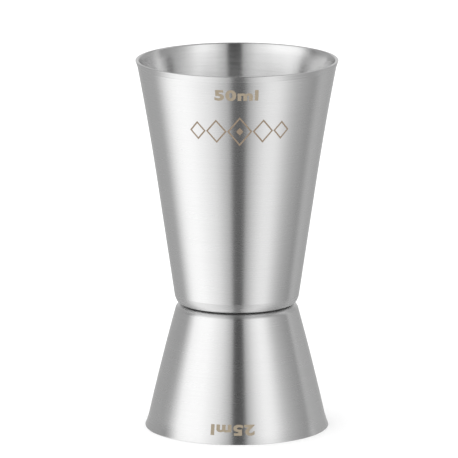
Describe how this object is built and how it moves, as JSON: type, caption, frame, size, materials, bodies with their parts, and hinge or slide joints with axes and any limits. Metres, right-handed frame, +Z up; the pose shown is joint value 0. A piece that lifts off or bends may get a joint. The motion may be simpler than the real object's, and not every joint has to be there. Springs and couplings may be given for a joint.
{
  "type": "bar jigger",
  "caption": "Double-ended spirit measure: a tall flared steel cup standing on a shorter inverted one, welded base to base.",
  "frame": {"origin": "centre of the foot ring, on the surface the jigger stands on", "axes": "+Z up the shared axis of the two cups, towards the large cup's mouth; +Y away from the side that carries the capacity marks"},
  "size_m": [0.0456, 0.0456, 0.084],
  "materials": {
    "satin_steel": "stainless steel, fine satin brushing that runs around the cups",
    "weld_steel": "dull fused stainless steel",
    "mark_oxide": "thin tan oxide left by laser marking"
  },
  "bodies": {
    "root": {"upper_cup": "satin_steel", "lower_cup": "satin_steel", "spot_weld_1": "weld_steel", "spot_weld_2": "weld_steel", "spot_weld_3": "weld_steel"}
  },
  "joints": []
}
